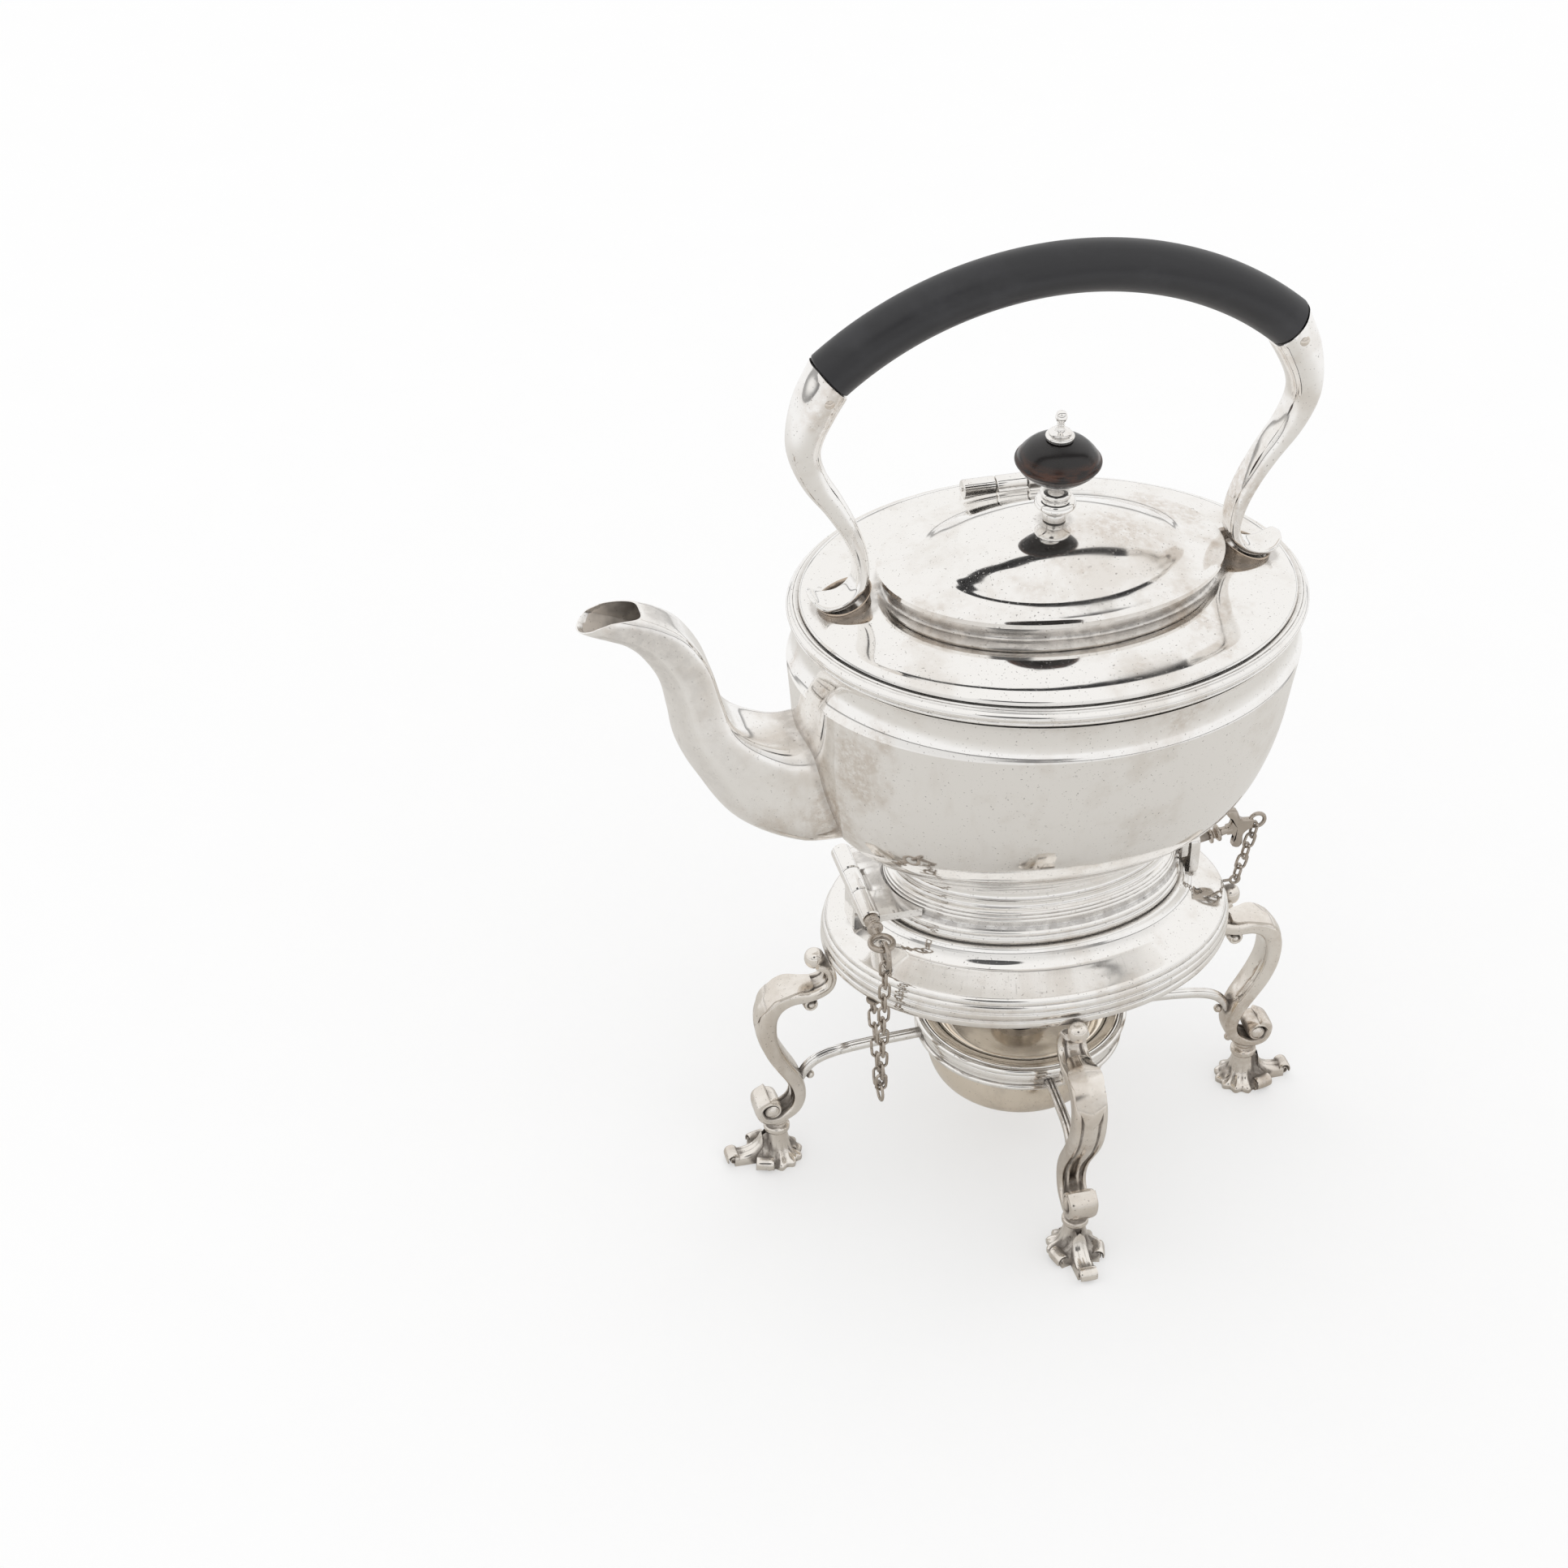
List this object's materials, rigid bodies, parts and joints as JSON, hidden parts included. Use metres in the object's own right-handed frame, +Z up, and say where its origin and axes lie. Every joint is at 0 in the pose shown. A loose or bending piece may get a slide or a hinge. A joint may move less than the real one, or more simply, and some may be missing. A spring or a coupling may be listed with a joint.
{
  "type": "spirit kettle on stand",
  "caption": "Oval metal kettle with hinged lid, wood-gripped arch handle and S spout, tilting on a pinned hinge over a scroll-legged stand with a spirit burner and chained pins.",
  "frame": {"origin": "on the table under the middle of the whole object's box", "axes": "+Z up, spout towards -X, hinge pin drawn out towards -Y"},
  "size_m": [0.2514, 0.1708, 0.3391],
  "materials": {
    "silver_stand": "polished silver plate, lightly tarnished",
    "silver_burner": "polished silver plate, dulled by heat",
    "silver_kettle": "polished silver plate, lightly tarnished",
    "silver_fittings": "polished silver plate with tarnish in the recesses",
    "ebony_grip": "ebonised, satin",
    "wood_knob": "ebonised, satin, browned at the edge",
    "cotton_wick": "woven cotton"
  },
  "bodies": {
    "stand": {"stand_ring": "silver_stand", "leg_left": "silver_stand", "leg_front": "silver_stand", "leg_right": "silver_stand", "leg_back": "silver_stand", "burner_frame": "silver_stand", "stand_knuckle": "silver_stand", "lock_post": "silver_stand", "chain_eye_front": "silver_fittings", "chain_eye_rear": "silver_fittings"},
    "burner": {"burner_bowl": "silver_burner", "burner_cover": "silver_burner", "wick_tube": "silver_burner", "wick": "cotton_wick"},
    "kettle": {"kettle_bowl": "silver_kettle", "spout": "silver_kettle", "kettle_foot": "silver_kettle", "kettle_rim": "silver_kettle", "shoulder_plate": "silver_kettle", "handle_grip": "ebony_grip", "handle_arm_left": "silver_kettle", "handle_arm_right": "silver_kettle", "handle_seat_left": "silver_kettle", "handle_seat_right": "silver_kettle", "lid_hinge_block": "silver_kettle", "lid_hinge_pin": "silver_kettle", "kettle_hinge": "silver_kettle", "lock_lug": "silver_kettle"},
    "lid": {"lid": "silver_kettle", "finial_stem": "silver_kettle", "finial_knob": "wood_knob", "finial_nut": "silver_kettle", "lid_leaf": "silver_kettle"},
    "hinge_pin": {"hinge_pin": "silver_fittings", "pin_ring": "silver_fittings"},
    "pin_chain": {"pin_chain_1": "silver_fittings", "pin_chain_2": "silver_fittings", "pin_chain_3": "silver_fittings", "pin_chain_4": "silver_fittings", "pin_chain_5": "silver_fittings", "pin_chain_6": "silver_fittings", "pin_chain_7": "silver_fittings", "pin_chain_8": "silver_fittings", "pin_chain_9": "silver_fittings", "pin_chain_10": "silver_fittings", "pin_chain_11": "silver_fittings"},
    "stand_chain": {"stand_chain_1": "silver_fittings", "stand_chain_2": "silver_fittings", "stand_chain_3": "silver_fittings", "stand_chain_4": "silver_fittings", "stand_chain_5": "silver_fittings", "chain_ring": "silver_fittings"},
    "lock_pin": {"lock_pin": "silver_fittings"},
    "lock_chain": {"lock_chain_1": "silver_fittings", "lock_chain_2": "silver_fittings", "lock_chain_3": "silver_fittings", "lock_chain_4": "silver_fittings", "lock_chain_5": "silver_fittings"}
  },
  "joints": [
    {"name": "burner_lift", "type": "slide", "parent": "stand", "child": "burner", "axis": [0, 0, 1], "range_m": [0, 0.016]},
    {"name": "kettle_tilt", "type": "hinge", "parent": "stand", "child": "kettle", "pos_m": [-0.03494, 0, 0.112], "axis": [0, -1, 0], "range_deg": [0, 55]},
    {"name": "lid_hinge", "type": "hinge", "parent": "kettle", "child": "lid", "pos_m": [0.02406, 0.0422, 0.2309], "axis": [-1, 0, 0], "range_deg": [0, 105]},
    {"name": "hinge_pin_slide", "type": "slide", "parent": "stand", "child": "hinge_pin", "axis": [0, -1, 0], "range_m": [0, 0.038]},
    {"name": "pin_chain_swing", "type": "hinge", "parent": "hinge_pin", "child": "pin_chain", "pos_m": [-0.03494, -0.03535, 0.11085], "axis": [1, 0, 0], "range_deg": [0, 29.8]},
    {"name": "stand_chain_swing", "type": "hinge", "parent": "stand", "child": "stand_chain", "pos_m": [-0.03494, -0.02437, 0.0808], "axis": [1, 0, 0], "range_deg": [-24.4, 0]},
    {"name": "lock_pin_slide", "type": "slide", "parent": "stand", "child": "lock_pin", "axis": [-0.9781, 0, -0.2079], "range_m": [0, 0.0028]},
    {"name": "lock_chain_swing", "type": "hinge", "parent": "stand", "child": "lock_chain", "pos_m": [0.09746, 0, 0.09005], "axis": [0, 1, 0], "range_deg": [-6.2, 0]}
  ],
  "couplings": [
    {"joint": "pin_chain_swing", "follows": "hinge_pin_slide", "rad_per_m": 13.64},
    {"joint": "stand_chain_swing", "follows": "hinge_pin_slide", "rad_per_m": -11.2},
    {"joint": "lock_chain_swing", "follows": "lock_pin_slide", "rad_per_m": -38.5}
  ]
}
